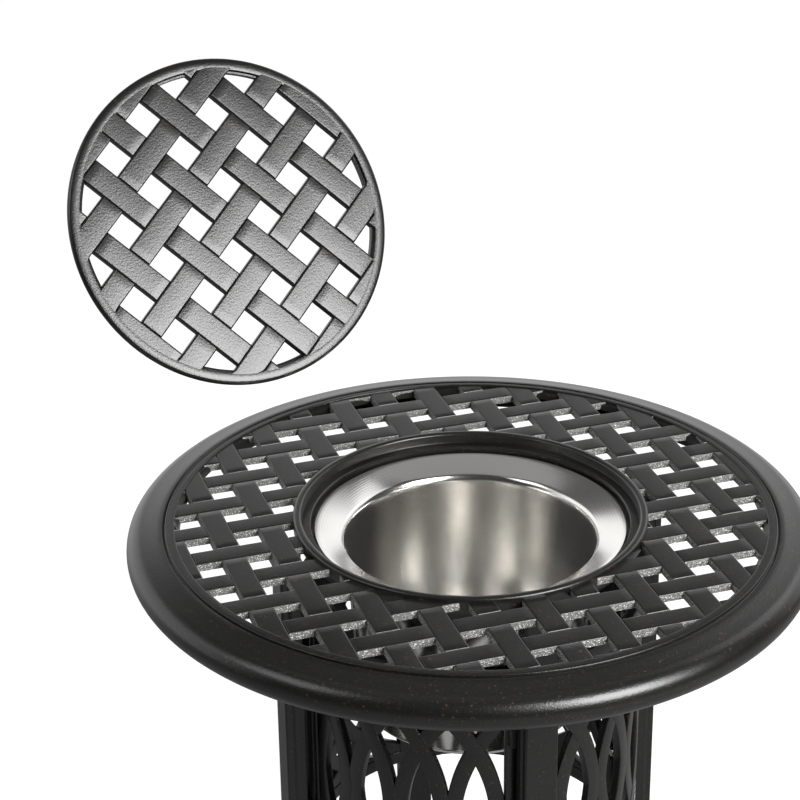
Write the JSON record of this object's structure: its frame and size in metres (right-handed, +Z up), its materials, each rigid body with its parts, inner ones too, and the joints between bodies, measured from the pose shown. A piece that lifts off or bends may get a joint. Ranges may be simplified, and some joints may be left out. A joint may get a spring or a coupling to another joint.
{
  "type": "ice bucket coffee table",
  "caption": "Round outdoor coffee table with a woven cast top, a steel ice bucket set in a collar at its centre, a lift-off woven lid and a base of four legs round a drum of arched panels",
  "frame": {"origin": "on the floor under the centre of the round top, at the middle of the bounding box's base", "axes": "+Z is up; +X and +Y run along the two strip directions of the weave; the near post of the picture stands on -Y"},
  "size_m": [0.5357, 0.5334, 0.7915],
  "materials": {
    "black_coat": "satin black powder coat on cast aluminium, with a faint bronze speckle",
    "polished_steel": "spun and polished stainless steel",
    "zinc_bolt": "bright zinc-plated bolts",
    "nylon_glide": "moulded black nylon"
  },
  "bodies": {
    "table": {"tabletop": "black_coat", "post_front": "black_coat", "post_right": "black_coat", "post_back": "black_coat", "post_left": "black_coat", "panel_front_right": "black_coat", "panel_back_right": "black_coat", "panel_back_left": "black_coat", "panel_front_left": "black_coat", "panel_bolt_front_right_1": "zinc_bolt", "panel_bolt_front_right_2": "zinc_bolt", "panel_bolt_front_right_3": "zinc_bolt", "panel_bolt_front_right_4": "zinc_bolt", "panel_bolt_back_right_1": "zinc_bolt", "panel_bolt_back_right_2": "zinc_bolt", "panel_bolt_back_right_3": "zinc_bolt", "panel_bolt_back_right_4": "zinc_bolt", "panel_bolt_back_left_1": "zinc_bolt", "panel_bolt_back_left_2": "zinc_bolt", "panel_bolt_back_left_3": "zinc_bolt", "panel_bolt_back_left_4": "zinc_bolt", "panel_bolt_front_left_1": "zinc_bolt", "panel_bolt_front_left_2": "zinc_bolt", "panel_bolt_front_left_3": "zinc_bolt", "panel_bolt_front_left_4": "zinc_bolt", "top_bolt_front": "zinc_bolt", "top_bolt_right": "zinc_bolt", "top_bolt_back": "zinc_bolt", "top_bolt_left": "zinc_bolt", "glide_front": "nylon_glide", "glide_right": "nylon_glide", "glide_back": "nylon_glide", "glide_left": "nylon_glide"},
    "bucket": {"ice_bucket": "polished_steel"},
    "lid": {"lid": "black_coat"}
  },
  "joints": [
    {"name": "bucket_lift", "type": "slide", "parent": "table", "child": "bucket", "axis": [0, 0, 1], "range_m": [0, 0.2]},
    {"name": "lid_swing", "type": "hinge", "parent": "bucket", "child": "lid", "pos_m": [-0.16235, -0.03314, 0.61325], "axis": [-0.6349, 0.3137, -0.7061], "range_deg": [0, 78]}
  ]
}
